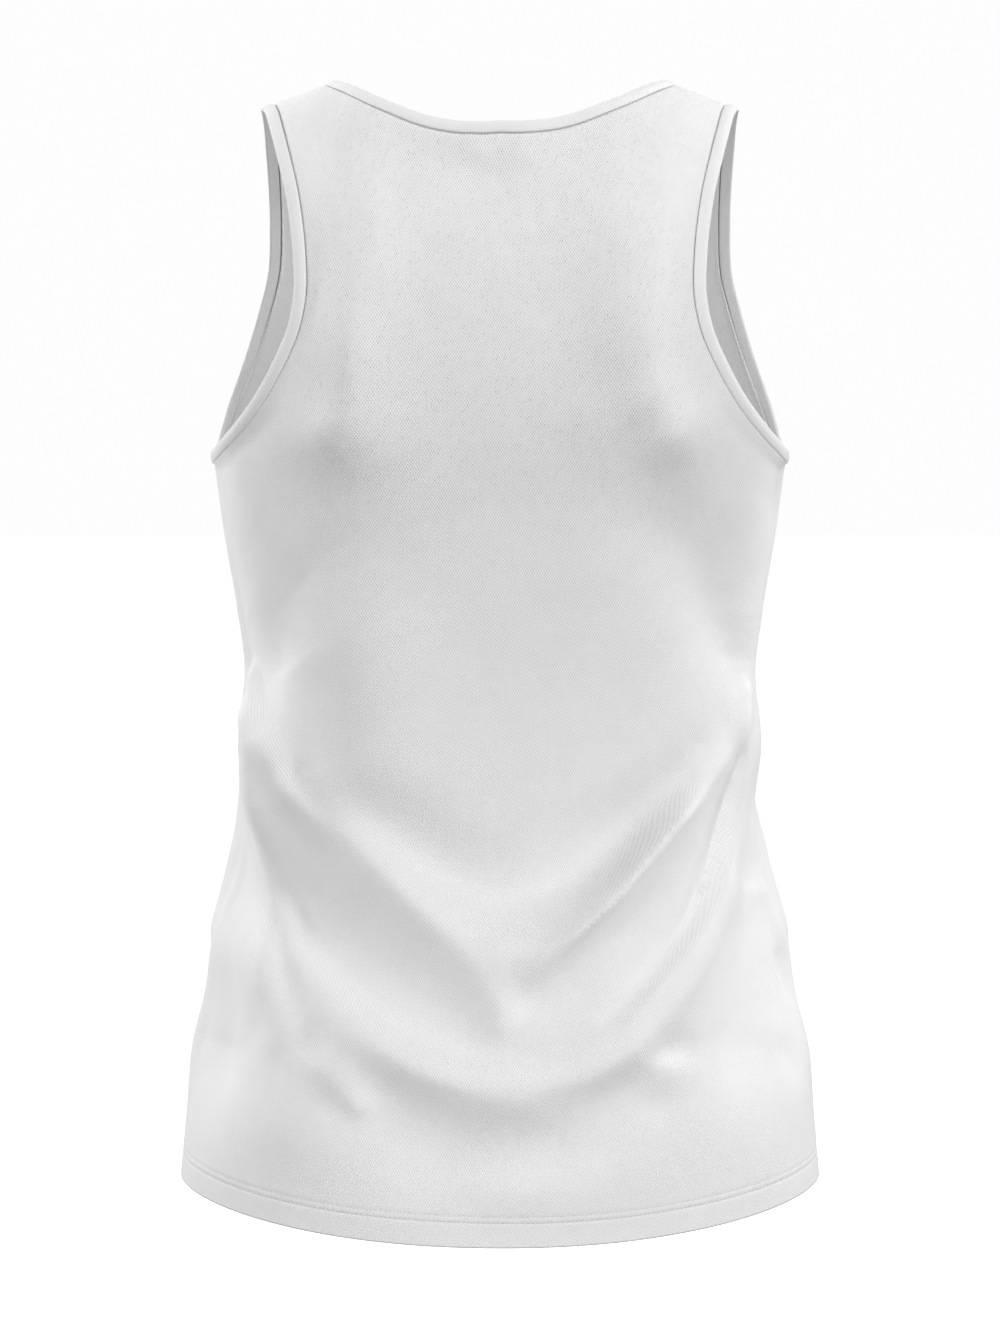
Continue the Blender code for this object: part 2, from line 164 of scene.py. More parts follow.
cut = {
    "seamGap": 0.00010,  # between panels, hidden in the seam's ditch
    "neckColumns": 48,  # from the centre line to the neck point
    "strapColumns": 24,
    "lastColumn": 0.984,  # share of the half width where the even columns end
    "marginShares": (0.9890, 0.9930, 0.9960, 0.9982, 1.0),  # fine columns for the seam's ditch
    "armholeRows": 76,
    "lastRow": 0.993,
    "armholeEndRows": (0.9970, 1.0),
    "armholeStartRows": (0.0009, 0.0022),
    "closerEnds": 0.35,  # how much closer the rows are at the armhole's ends
    "closerAtNeck": 1.2,
    "sag": 0.032,  # how far the rows hang at the middle, level with the underarm
    "sagShare": 0.30,
    "sagEnds": 0.110,  # cloth length below the underarm
    "bodyRow": 0.0027,
    "cloth": 0.0012,  # one layer
    "hemDepth": 0.0190,
    "rimWidth": 0.0004,  # the rounding of the cut edges
    "rimSegments": 2,
    "rimAngle": 55,
    "hemRows": (0.0, 0.8, 1.8, 3.2, 5, 7, 9, 11, 12.6, 13.6, 14.3, 14.9, 15.5, 16.2, 17.1, 17.8,
                18.4, 19.0, 19.8, 20.8, 22.2),  # mm above the edge
    "seamDitch": (0.00150, 0.0010),  # depth and half width, along the bindings
    "sideDitch": (0.00030, 0.0008),
    # height above the edge, depth and half width, under each row of stitches
    "stitchDitches": ((0.0149, 0.00035, 0.0010), (0.0184, 0.00028, 0.0010)),
    "foldsFade": 0.016,  # distance from a side seam over which the folds grow to full height
    "foldStep": 0.006,  # a fold's path is followed in steps of this length
    "fewestSteps": 16,
    "foldReach": 3,  # widths of a fold past which it moves nothing
}


def seamTurn(side, length):
    _, _, depth, square = sectionAt(side, length)
    return np.arccos((cut["seamGap"] / 2 / abs(depth)) ** (square / 2))


def evenShares(count, margins, last):
    return np.concatenate((np.linspace(0, last, count), margins))


evenColumns = cut["neckColumns"] + cut["strapColumns"]
columnShares = evenShares(evenColumns, cut["marginShares"], cut["lastColumn"])


def armholeShares():
    even = evenShares(cut["armholeRows"], cut["armholeEndRows"], cut["lastRow"])
    even = even - cut["closerEnds"] * np.sin(2 * pi * even) / (2 * pi)
    return np.concatenate((even[:1], cut["armholeStartRows"], even[1:]))


def evenTurns(shares):
    fine = np.linspace(0, pi / 2, body["sectionPoints"])
    x, y, _ = onBody(1, fine, np.full(fine.shape, body["underarm"]), 0.0)
    run = np.concatenate(([0.0], np.cumsum(np.hypot(np.diff(x), np.diff(y)))))
    return np.interp(shares, run / run[-1], fine)


def armholeSeam(side):
    column = 1 if side > 0 else 2
    knots = [(turnAt(row[column], row[0]), row[0]) for row in body["armhole"]]
    knots.append((seamTurn(side, body["underarm"]), body["underarm"]))
    knots.append((pi - knots[-2][0], knots[-2][1]))
    turns, down = np.array(knots).T
    steps = np.hypot(np.diff(turns) * halfWidths[0], np.diff(down))
    run = np.concatenate(([0.0], np.cumsum(steps)))
    at = run[-2] * (1 - armholeShares())
    return smoothThrough(run, turns, at), np.maximum(smoothThrough(run, down, at), cut["seamGap"] / 2)


def topEdge(neckHalfWidth, neckDrop, roundness):
    count = cut["neckColumns"]
    neck = 1 - (1 - columnShares[: count + 1] / columnShares[count]) ** cut["closerAtNeck"]
    strap = (columnShares[count + 1 :] - columnShares[count]) / (1 - columnShares[count])
    strapWidth = body["armhole"][0][1] - neckHalfWidth
    across = np.append(neckHalfWidth * np.sin(neck * pi / 2), neckHalfWidth + strapWidth * strap)
    neckDown = neckDrop * np.maximum(np.cos(neck * pi / 2), 0.0) ** roundness
    down = np.maximum(np.append(neckDown, np.zeros(len(strap))), cut["seamGap"] / 2)
    return turnAt(across, down), down


def halfRows(side, neckHalfWidth, neckDrop, roundness):
    # (turns, cloth lengths down) of each row, from the hem up to the neckline and shoulder seam
    turns = evenTurns(columnShares)
    hem = hemLength - np.array(cut["hemRows"]) / 1000
    count = int(round((hem[-1] - body["underarm"]) / cut["bodyRow"]))
    belowArmhole = np.linspace(hem[-1], body["underarm"], count + 1)[1:]
    inside = ease((1 - columnShares) / cut["sagShare"])
    rows = []
    for length in np.concatenate((hem, belowArmhole)):
        sag = cut["sag"] * max(1 - (length - body["underarm"]) / cut["sagEnds"], 0.0)
        down = length + sag * inside
        rows.append((np.minimum(turns, seamTurn(side, down)), down))
    arm = armholeSeam(side)
    top = topEdge(neckHalfWidth, neckDrop, roundness)
    bottom = rows[-1]
    neck = columnShares[cut["neckColumns"]]
    strapShares = np.clip((columnShares - neck) / (1 - neck), 0.0, 1.0)
    for j, t in enumerate(armholeShares()[1:], start=1):
        pull = columnShares + (strapShares - columnShares) * ease(2 * t - 1)
        row = []
        for k in range(2):
            outer = bottom[k][-1] + (top[k][-1] - bottom[k][-1]) * t
            row.append((1 - t) * bottom[k] + t * top[k] + pull * (arm[k][j] - outer))
        rows.append(row)
    return rows


def panelGrid(panel):
    # points, outward normals and cloth length down, over the full width from -X to +X
    points, normals, down = [], [], []
    flip = np.array((-1.0, 1.0, 1.0))
    side = panel["side"]
    for turns, length in halfRows(side, panel["neckHalfWidth"], panel["neckDrop"], panel["roundness"]):
        half = onBody(side, turns, length, panel["hemDip"]).T
        out = bodyNormals(side, turns, length)
        points.append(np.concatenate((half[:0:-1] * flip, half)))
        normals.append(np.concatenate((out[:0:-1] * flip, out)))
        down.append(np.concatenate((length[:0:-1], length)))
    return np.array(points), np.array(normals), np.array(down)


def runAcross(points):
    steps = np.linalg.norm(np.diff(points, axis=1), axis=2)
    run = np.concatenate((np.zeros((len(points), 1)), np.cumsum(steps, axis=1)), axis=1)
    return run, run - run[:, points.shape[1] // 2][:, None]


def foldField(across, height, fold):
    # How far one fold moves each point of the cloth out. Its points are (across, height, rise,
    # width above, width below) in mm, and the cloth eases out to nothing past its ends.
    knots = np.array(fold, float) / 1000
    run = np.concatenate(([0.0], np.cumsum(np.hypot(np.diff(knots[:, 0]), np.diff(knots[:, 1])))))
    at = np.linspace(0, run[-1], max(cut["fewestSteps"], int(run[-1] / cut["foldStep"])))
    line = np.column_stack([smoothThrough(run, knots[:, k], at) for k in range(5)])
    reach = cut["foldReach"] * line[:, 3:].max()
    near = (
        (across > line[:, 0].min() - reach) & (across < line[:, 0].max() + reach)
        & (height > line[:, 1].min() - reach) & (height < line[:, 1].max() + reach)
    )
    here = np.column_stack((across[near], height[near]))
    best = np.full(len(here), 1e9)
    values = np.zeros((len(here), 5))
    for start, end in zip(line[:-1], line[1:]):
        along = end[:2] - start[:2]
        length = np.hypot(*along)
        apart = here - start[:2]
        t = np.clip(apart @ along / length**2, 0, 1)
        off = apart - t[:, None] * along
        distance = np.hypot(*off.T)
        closer = distance < best
        best[closer] = distance[closer]
        side = (along[0] * off[:, 1] - along[1] * off[:, 0]) / (length * np.maximum(distance, 1e-6))
        mix = start[2:] + t[:, None] * (end[2:] - start[2:])
        values[closer, 0] = side[closer]
        values[closer, 1:4] = mix[closer]
    # a path drawn from +X to -X, or down, has its upper or -X side on its right hand
    above = ease(0.5 - 0.5 * values[:, 0])
    width = values[:, 3] + (values[:, 2] - values[:, 3]) * above
    field = np.zeros(across.shape)
    field[near] = values[:, 1] * np.exp(-((best / width) ** 2))
    return field


def foldedPanel(panel):
    points, normals, down = panelGrid(panel)
    run, across = runAcross(points)
    out = sum(foldField(across, points[..., 2], fold) for fold in panel["folds"].values())
    fromSide = np.minimum(run, run[:, -1:] - run)
    out = out * ease(fromSide / cut["foldsFade"])
    # ditches: where the side, shoulder and binding seams pull the cloth in, and under the stitch rows
    topRun = np.zeros(across.shape)
    topRun[:-1] = np.cumsum(np.linalg.norm(np.diff(points[::-1], axis=0), axis=2), axis=0)[::-1]
    atArmhole = down < body["underarm"]
    edge = np.where(atArmhole, np.minimum(topRun, fromSide), topRun)
    depth, half = cut["seamDitch"]
    out = out - depth * np.exp(-((edge / half) ** 2))
    depth, half = cut["sideDitch"]
    out = out - depth * np.exp(-((fromSide / half) ** 2)) * ~atArmhole
    above = hemLength - down
    for height, depth, half in cut["stitchDitches"]:
        out = out - depth * np.exp(-(((above - height) / half) ** 2))
    return points + normals * out[..., None], normals, down


panels = {
    "backPanel": {
        "node": "back_panel", "side": 1, "neckHalfWidth": 0.107, "neckDrop": 0.082, "roundness": 1.20,
        "hemDip": 0.015,
        # from the picture, in mm: across from the centre line, height, rise, width above, width below
        "folds": {
            "long sweep left": ((170, -353, 7.4, 4, 19), (127, -410, 10.2, 14, 20),
                (93, -443, 6.7, 22, 18), (54, -482, 6.8, 23, 12), (25, -508, 6.5, 24, 13),
                (10, -533, 5.9, 20, 13), (3, -549, 7.2, 13, 10)),
            "long sweep right": ((-5, -511, 5.1, 14, 14), (-28, -502, 8, 15, 12),
                (-60, -484, 11.2, 16, 10), (-90, -449, 10, 16, 12), (-124, -407, 6.8, 13, 11),
                (-149, -395, 4.7, 12, 12), (-169, -362, 3.9, 5.9, 8)),
            "upper hollow": ((96, -412, -2.7, 29, 16), (67, -433, -6.5, 23, 17),
                (34, -461, -10.7, 24, 16), (-9, -468, -12.7, 24, 17), (-48, -456, -12.6, 26, 15),
                (-93, -428, -16, 18, 5), (-122, -397, -5.1, 14, 14)),
            "low sweep": ((186, -414, 0.4, 24, 18), (156, -432, 7.1, 24, 15),
                (150, -468, 4.6, 17, 10),
                (136, -500, 3.4, 6, 4.4), (108, -528, 8.5, 7, 15), (79, -553, 9.7, 8, 18),
                (55, -568, 10.4, 10, 17), (26, -579, 13, 13, 16), (-6, -583, 13, 13, 21),
                (-31, -580, 11.6, 14, 16), (-62, -569, 12.9, 19, 14), (-80, -554, 9.7, 22, 17),
                (-100, -540, 7.1, 23, 12), (-122, -518, 4.6, 23, 9), (-144, -487, 2.9, 24, 11),
                (-166, -472, -0.5, 25, 15), (-196, -428, -3.8, 27, 17)),
            "inner crease left": ((156, -378, 4.6, 5, 19), (144, -434, 0.3, 8, 18),
                (137, -463, -3.3, 13, 20), (125, -492, -2.9, 15, 17)),
            "inner crease right": ((-159, -407, -6.2, 3.5, 19), (-141, -466, -16, 3.6, 18),
                (-123, -491, -13.5, 3.5, 10), (-97, -518, -8.7, 3.5, 10),
                (-67, -545, -4.1, 3.5, 9)),
            "under the low sweep": ((73, -590, -9.4, 17, 28), (24, -617, -13.4, 18, 29),
                (-11, -619, -11.3, 16, 23), (-44, -618, -4.6, 16, 21), (-81, -590, -3.1, 16, 21)),
            "blade hollow left": ((132, -233, -1.8, 31, 42), (92, -228, 2.4, 38, 42),
                (-10, -254, -5.5, 42, 42)),
            "blade hollow right": ((-67, -206, -7.5, 37, 41), (-82, -219, -12.1, 42, 42),
                (-150, -305, -15.6, 42, 42)),
            "neck hollow": ((52, -43, -4.5, 19, 27), (4, -51, -4.8, 13, 19),
                (-3, -39, -0.9, 14, 14),
                (-50, -37, -0.6, 15, 15)),
            "right yoke crest": ((-116, -33, 1.3, 27, 25), (-106, -73, 4.3, 17, 24),
                (-93, -116, 6.3, 10, 24), (-87, -147, 7, 13, 26), (-81, -179, 4, 20, 28)),
            "right yoke inner": ((-75, -34, 2.5, 30, 25), (-68, -86, 8, 28, 29),
                (-71, -129, 4.7, 21, 26), (-79, -169, 5.6, 19, 21), (-99, -205, 11.7, 26, 19)),
            "left yoke crest": ((82, -64, 3.6, 18, 21), (73, -108, 4.8, 20, 19),
                (81, -159, 6.1, 25, 18),
                (79, -203, 3.5, 26, 19)),
            "left yoke inner": ((111, -37, -4.1, 20, 25), (95, -86, 3.8, 21, 21),
                (92, -140, 8.2, 18, 19), (90, -195, 8.4, 21, 24)),
            "blade under left": ((160, -197, -3.9, 25, 21), (143, -210, 0.1, 23, 19),
                (107, -209, 4, 19, 18), (69, -235, -0.3, 16, 16)),
            "blade under right": ((-61, -204, 6.8, 24, 24), (-86, -227, 7.9, 25, 31),
                (-107, -237, 5.5, 26, 26), (-130, -249, 2.3, 23, 23)),
            "left side hollow": ((201, -234, -2.8, 24, 27), (177, -275, -2.5, 27, 27),
                (147, -301, -3.1, 34, 32), (142, -336, -4.5, 14, 34)),
            "right side hollow": ((-116, -223, 1.7, 28, 31), (-145, -277, 2.8, 28, 17),
                (-164, -315, 5.1, 29, 19), (-160, -340, -2, 24, 17)),
            "left rib crest": ((209, -270, -0.6, 25, 24), (189, -317, -4.5, 26, 27),
                (156, -355, -1.5, 24, 20), (139, -386, 6, 20, 18)),
            "right rib crest": ((-213, -250, -6.6, 22, 35), (-195, -316, 0.9, 21, 25),
                (-182, -353, 0.8, 23, 24), (-151, -381, -4.3, 25, 22)),
            "left waist soft": ((115, -289, 2.4, 42, 30), (87, -319, 12.2, 42, 38),
                (79, -397, 12.1, 42, 32)),
            "waist left trough": ((182, -348, -4.3, 9, 11), (167, -386, -1.6, 11, 11),
                (152, -415, 6.7, 12, 12), (138, -461, 5.8, 21, 11), (124, -486, 4.2, 20, 5)),
            "waist left inner": ((123, -405, -5.4, 10, 5.2), (107, -423, -3, 10, 6),
                (85, -444, 2.7, 7, 8), (53, -472, 5.9, 7, 9), (26, -499, 1.9, 8, 8),
                (1, -536, 2.4, 9, 9)),
            "waist right line": ((-165, -377, 1.1, 8, 8), (-139, -405, 0.5, 8, 8),
                (-109, -425, 8.3, 12, 6), (-80, -457, 17, 12, 6), (-52, -492, 18, 8, 9),
                (-30, -513, 10, 7, 10), (-11, -526, 1.5, 6, 11)),
            "bright under hollow": ((109, -410, 4.2, 20, 21), (82, -438, -0.8, 19, 20),
                (41, -465, -4.2, 18, 19), (-6, -481, -6.9, 17, 17), (-49, -464, -7.6, 15, 15),
                (-96, -423, 0.9, 17, 14)),
            "left flute a": ((190, -474, -5.9, 32, 22), (198, -523, -9.7, 31, 22),
                (196, -574, -15.8, 36, 42)),
            "left flute dark": ((167, -481, -0.9, 7, 15), (153, -517, 2.3, 9, 14),
                (157, -559, -1.2, 10, 12)),
            "left flute b": ((144, -465, -0.4, 5.5, 11), (146, -516, 3.2, 5, 12),
                (131, -557, 2.7, 8, 15)),
            "right flute a": ((-185, -481, -10.6, 22, 26), (-183, -494, -16, 38, 33),
                (-166, -563, -16, 36, 42)),
            "right flute b": ((-223, -528, -3.2, 14, 5), (-212, -561, -1.9, 16, 7),
                (-202, -583, -3.5, 16, 8)),
            "right corner": ((-80, -564, 3, 14, 12), (-92, -582, 2.5, 18, 10),
                (-93, -597, -1.1, 16, 9)),
            "right corner patch": ((-90, -568, -1.9, 10, 5.7), (-103, -567, -5.2, 10, 5.9),
                (-121, -569, -1.1, 10, 7)),
            "left small crease": ((118, -561, -1.5, 9, 11), (102, -568, 1.6, 12, 11),
                (80, -584, 1.8, 12, 10)),
            "left crease dark": ((114, -575, 1.7, 9, 10), (97, -584, 5.3, 11, 11),
                (85, -597, 5.8, 10, 8)),
            "pool left": ((117, -492, -14.3, 25, 37), (107, -502, -16, 29, 35),
                (65, -524, -16, 28, 34),
                (21, -558, -13.4, 33, 29)),
            "pool right": ((-44, -517, -10.8, 23, 23), (-87, -493, -14.5, 23, 22),
                (-110, -475, -9.1, 26, 21)),
            "centre between": ((12, -479, 0.1, 12, 10), (-2, -508, -0.3, 14, 10),
                (-15, -533, -5.4, 17, 10)),
            "low roll left": ((127, -614, 3.3, 24, 26), (60, -629, -1, 25, 23),
                (-2, -639, 6.8, 30, 20),
                (-68, -631, 3.7, 36, 29)),
        },
    },
    "frontPanel": {
        "node": "front_panel", "side": -1, "neckHalfWidth": 0.107, "neckDrop": 0.158, "roundness": 0.95,
        "hemDip": 0.008,
        # the picture doesn't show the front, so its folds are the back's kind, smaller and fewer
        "folds": {
            "chest drape left": ((85, -190, -3, 22, 24), (118, -262, -5, 26, 24),
                (146, -345, -3, 22, 22)),
            "chest drape right": ((-92, -200, -2.5, 20, 26), (-124, -282, -5.5, 24, 28),
                (-156, -345, -2.5, 20, 22)),
            "strap ripple left": ((112, -60, 2.2, 9, 12), (104, -110, 3.8, 11, 15),
                (92, -165, 2.4, 13, 18)),
            "strap ripple right": ((-118, -48, 1.8, 10, 12), (-109, -100, 3.2, 12, 14),
                (-101, -150, 4.2, 12, 18), (-88, -205, 2, 14, 20)),
            "neck hollow": ((48, -172, -2.5, 12, 22), (6, -182, -4, 12, 24),
                (-40, -174, -2, 12, 20)),
            "underarm pull left": ((160, -250, 2.4, 10, 14), (128, -268, 5, 12, 18),
                (90, -280, 3, 14, 20)),
            "underarm pull right": ((-162, -252, 2, 9, 13), (-136, -276, 4.6, 11, 17),
                (-102, -302, 4, 13, 18), (-72, -312, 1.6, 14, 18)),
            "waist sweep left": ((182, -352, 4, 8, 24), (136, -398, 8.5, 15, 24),
                (92, -440, 9.8, 19, 18),
                (48, -478, 9, 22, 11), (8, -503, 8.2, 22, 12), (-18, -512, 4, 18, 14)),
            "waist sweep right": ((12, -488, 3.5, 14, 12), (-36, -478, 7.5, 15, 11),
                (-78, -452, 10.2, 16, 10), (-124, -410, 7, 19, 12), (-172, -366, 3, 17, 14)),
            "upper hollow": ((112, -392, -2.4, 24, 17), (64, -428, -5.6, 23, 16),
                (14, -452, -7.4, 24, 15),
                (-38, -448, -6.6, 23, 15), (-90, -412, -3.4, 18, 12)),
            "low sweep": ((184, -424, 4.5, 20, 17), (148, -470, 5.4, 14, 12),
                (112, -522, 7.2, 9, 13),
                (66, -556, 10, 8, 16), (14, -572, 11, 7, 20), (-42, -566, 10.4, 9, 19),
                (-92, -538, 6.8, 15, 15), (-138, -496, 2.4, 18, 13)),
            "under the low sweep": ((82, -592, -3, 16, 24), (20, -612, -4, 16, 22),
                (-46, -604, -2.8, 15, 20)),
            "left flute": ((176, -486, 2.6, 8, 11), (164, -530, 4.4, 9, 12),
                (158, -584, 2.4, 11, 14)),
            "right flute": ((-184, -500, 2.2, 8, 10), (-172, -545, 3.8, 9, 12),
                (-166, -596, 2.2, 11, 13)),
            "hem wave left": ((120, -612, 2.4, 20, 20), (112, -655, 4.2, 18, 18)),
            "hem wave right": ((-96, -618, -2.2, 18, 20), (-104, -655, -4, 18, 18)),
            "side bulge left": ((172, -432, 9, 20, 20), (181, -462, 14, 20, 20),
                (200, -515, 9, 20, 20)),
            "side bulge right": ((-172, -432, 8, 20, 20), (-181, -462, 12, 20, 20),
                (-200, -515, 8, 20, 20)),
        },
    },
}


def setMaterial(piece, material):
    piece.data.materials.clear()
    piece.data.materials.append(material)


def applyModifiers(piece):
    bpy.ops.object.select_all(action="DESELECT")
    piece.select_set(True)
    bpy.context.view_layer.objects.active = piece
    for modifier in list(piece.modifiers):
        bpy.ops.object.modifier_apply(modifier=modifier.name)
    piece.select_set(False)


def clothSheet(name, points, uvs, closed):
    # An open cloth surface over a grid of points with its own UV map in metres
    rows, columns = points.shape[:2]
    bm = bmesh.new()
    layer = bm.loops.layers.uv.new("cloth")
    grid = [[bm.verts.new(Vector(point)) for point in row] for row in points]
    spans = columns if closed else columns - 1
    for j in range(rows - 1):
        for i in range(spans):
            right = (i + 1) % columns
            face = bm.faces.new((grid[j][i], grid[j][right], grid[j + 1][right], grid[j + 1][i]))
            face.smooth = True
            places = ((j, i), (j, i + 1), (j + 1, i + 1), (j + 1, i))
            for loop, (row, column) in zip(face.loops, places):
                loop[layer].uv = uvs[row, column]
    mesh = bpy.data.meshes.new(name)
    bm.to_mesh(mesh)
    bm.free()
    piece = bpy.data.objects.new(name, mesh)
    bpy.context.scene.collection.objects.link(piece)
    return piece


def settle(piece, material, node=None):
    # the last steps that every finished piece goes through
    setMaterial(piece, material)
    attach(piece, "root")
    if node:
        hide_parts(node)
    print(piece.name, "made:", len(piece.data.polygons), "faces")


def makePanel(name, panel, material, thread):
    points, normals, down = foldedPanel(panel)
    unfolded, _, _ = panelGrid(panel)
    run, across = runAcross(unfolded)
    uvs = np.stack((across, -down), axis=-1)
    order = slice(None, None, -panel["side"])
    piece = clothSheet(name, points[:, order], uvs[:, order], False)
    wall = piece.modifiers.new("cloth", "SOLIDIFY")
    wall.thickness = 2 * cut["cloth"]
    wall.offset = -1.0
    wall.use_even_offset = True
    wall.use_quality_normals = True
    hem = piece.vertex_groups.new(name="hem")
    doubled = sum(1 for above in cut["hemRows"] if above / 1000 <= cut["hemDepth"])
    hem.add(list(range(doubled * points.shape[1])), 1.0, "REPLACE")
    wall.vertex_group = hem.name
    wall.thickness_vertex_group = 0.5  # above the hem the wall is half as thick
    rim = piece.modifiers.new("rim", "BEVEL")
    rim.width = cut["rimWidth"]
    rim.segments = cut["rimSegments"]
    rim.limit_method = "ANGLE"
    rim.angle_limit = radians(cut["rimAngle"])
    applyModifiers(piece)
    settle(piece, material, panel["node"])
    stitches = makeStitches(name + "HemStitches", points, normals, thread)
    return points, normals


# Twin rows of stitches hold the hem: short threads, each sunk by half in the cloth.
hemStitch = {
    "rows": (14.9, 18.4),  # mm above the edge
    "pitch": 0.0029,
    "length": 0.0023,
    "width": 0.00036,
    "height": 0.00015,
    "endGap": 0.002,  # from the side seams
    "aheadStep": 0.001,  # to find which way the row runs
    "sides": 5,
    "rings": (0.0, 0.18, 0.5, 0.82, 1.0),  # shares of the length
    "girths": (0.30, 0.85, 1.0, 0.85, 0.30),
}


def makeStitches(name, points, normals, thread):
    bm = bmesh.new()
    layer = bm.loops.layers.uv.new("cloth")
    for above in hemStitch["rows"]:
        row = cut["hemRows"].index(above)
        line, out = points[row], normals[row]
        run = np.concatenate(([0.0], np.cumsum(np.linalg.norm(np.diff(line, axis=0), axis=1))))
        lastStart = run[-1] - hemStitch["endGap"] - hemStitch["length"]
        starts = np.arange(hemStitch["endGap"], lastStart, hemStitch["pitch"])
        for start in starts:
            rings = []
            for share, girth in zip(hemStitch["rings"], hemStitch["girths"]):
                at = start + share * hemStitch["length"]
                centre = np.array([np.interp(at, run, line[:, k]) for k in range(3)])
                further = at + hemStitch["aheadStep"]
                ahead = np.array([np.interp(further, run, line[:, k]) for k in range(3)]) - centre
                lift = unit(np.array([np.interp(at, run, out[:, k]) for k in range(3)]))
                beside = unit(np.cross(lift, ahead))
                ring = []
                for turn in np.linspace(0, 2 * pi, hemStitch["sides"], endpoint=False):
                    spot = centre + girth * (beside * np.cos(turn) * hemStitch["width"] / 2
                                             + lift * np.sin(turn) * hemStitch["height"])
                    ring.append(bm.verts.new(Vector(spot)))
                rings.append(ring)
            faces = [bm.faces.new(rings[0][::-1]), bm.faces.new(rings[-1])]
            for near, far in zip(rings[:-1], rings[1:]):
                for k in range(len(near)):
                    n = (k + 1) % len(near)
                    faces.append(bm.faces.new((near[k], near[n], far[n], far[k])))
            for face in faces:
                face.smooth = True
                for loop in face.loops:
                    loop[layer].uv = (start, above / 1000)
    bmesh.ops.recalc_face_normals(bm, faces=bm.faces)
    mesh = bpy.data.meshes.new(name)
    bm.to_mesh(mesh)
    bm.free()
    piece = bpy.data.objects.new(name, mesh)
    bpy.context.scene.collection.objects.link(piece)
    settle(piece, thread)
    return piece


# materials


def linear(hexColour):
    values = [int(hexColour[k : k + 2], 16) / 255 for k in (1, 3, 5)]
    return tuple(v / 12.92 if v <= 0.04045 else ((v + 0.055) / 1.055) ** 2.4 for v in values) + (1.0,)


def addNode(tree, kind, settings=None, links=None):
    node = tree.nodes.new(kind)
    # a number names a socket by its place, where several have the same name
    for name, value in (settings or {}).items():
        if isinstance(name, int) or name in node.inputs:
            node.inputs[name].default_value = value
        else:
            setattr(node, name, value)
    for name, source in (links or {}).items():
        tree.links.new(source, node.inputs[name])
    return node


# Knit of white micro-fibre polyester, brushed soft. The crimped yarn scatters light, so the cloth is
# matt, with hardly any gloss and a faint bloom where it turns away.
knitFinish = {
    "Roughness": 0.88,
    "IOR": 1.46,
    "Specular IOR Level": 0.15,
    "Sheen Weight": 0.25,
    "Sheen Roughness": 0.5,
}

# Where the knit's pattern shows and how it varies. Lengths are in metres on the cloth.
knitPattern = {
    "waver": 0.6,  # how far the rows of stitches stray from straight
    "waverScale": 0.8,
    "slack": (0.07, 0.19),  # out from the middle, where the cloth slackens towards the sides
    "openEnds": (0.08, 0.15),  # out from the middle, where the open stitches thin out
    "openAtSides": 0.15,  # share of them left there
    "openBelow": (-0.38, -0.24),  # down from the shoulder line, where they thin out
    "openLow": 0.12,  # share of them left below
    "firmBelow": (-0.56, -0.30),  # where the pattern softens towards the hem
    "patchScale": 60.0,  # patches of about 17 mm
    "patchLevels": (0.34, 0.66),
    "patchShares": (0.94, 1.06),
    "bottoms": (0.20, 0.65),  # the depths between which a pit can be open
    "dash": (0.0008, 0.0034, 0.49, 0.68),  # width, length, and the noise levels from none to full
    "trail": (0.0040, 0.012, 0.40, 0.64),
    "cloudScale": 45.0,
    "cloudLevels": (0.35, 0.68),
    "cloudTints": ((0.988, 0.979, 0.985), (1.0, 1.0, 0.996)),  # shares of red, green and blue
}


